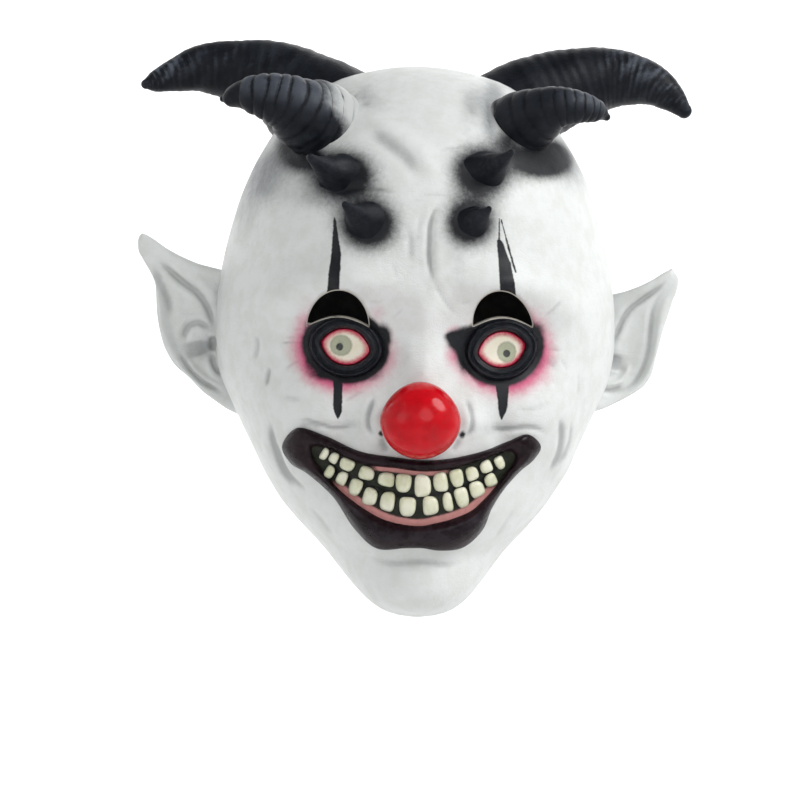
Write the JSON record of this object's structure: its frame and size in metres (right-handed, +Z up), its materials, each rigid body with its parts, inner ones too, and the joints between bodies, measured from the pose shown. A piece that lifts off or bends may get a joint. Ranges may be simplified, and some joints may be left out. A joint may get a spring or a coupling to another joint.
{
  "type": "horned clown mask",
  "caption": "Full-head latex clown mask with curved horns, forehead spikes, pointed ears, a red ball nose, vision slots over painted eyes and a wide toothy grin.",
  "frame": {"origin": "inside of the crown, where the hood sits on the wearer's head", "axes": "+Z up, the face looks along -Y, +X to the viewer's right"},
  "size_m": [0.2943, 0.2496, 0.3012],
  "materials": {
    "white_latex": "satin white latex, airbrushed grey in the creases",
    "black_latex": "satin blue-black latex, greyer along the ridges and tips",
    "red_paint": "glossy red paint over latex",
    "lip_paint": "semi-gloss dark brown paint over latex",
    "gum_paint": "dark green-black wash over pink latex",
    "tooth_paint": "semi-gloss greenish cream paint",
    "eye_paint": "glossy cream paint with a red edge and a green iris"
  },
  "bodies": {
    "root": {"head_shell": "white_latex", "crown_shell": "white_latex", "nape_shell": "white_latex", "ear_left": "white_latex", "ear_right": "white_latex", "big_horn_left": "black_latex", "big_horn_right": "black_latex", "small_horn_left": "black_latex", "small_horn_right": "black_latex", "spike_upper_left": "black_latex", "spike_upper_right": "black_latex", "spike_lower_left": "black_latex", "spike_lower_right": "black_latex", "nose_ball": "red_paint", "eye_rim_left": "black_latex", "eye_rim_right": "black_latex", "eyeball_left": "eye_paint", "eyeball_right": "eye_paint", "lips": "lip_paint", "gums": "gum_paint", "tooth_upper_01": "tooth_paint", "tooth_upper_02": "tooth_paint", "tooth_upper_03": "tooth_paint", "tooth_upper_04": "tooth_paint", "tooth_upper_05": "tooth_paint", "tooth_upper_06": "tooth_paint", "tooth_upper_07": "tooth_paint", "tooth_upper_08": "tooth_paint", "tooth_upper_09": "tooth_paint", "tooth_upper_10": "tooth_paint", "tooth_upper_11": "tooth_paint", "tooth_upper_12": "tooth_paint", "tooth_lower_01": "tooth_paint", "tooth_lower_02": "tooth_paint", "tooth_lower_03": "tooth_paint", "tooth_lower_04": "tooth_paint", "tooth_lower_05": "tooth_paint", "tooth_lower_06": "tooth_paint", "tooth_lower_07": "tooth_paint", "tooth_lower_08": "tooth_paint", "tooth_lower_09": "tooth_paint", "tooth_lower_10": "tooth_paint", "tooth_lower_11": "tooth_paint"}
  },
  "joints": []
}
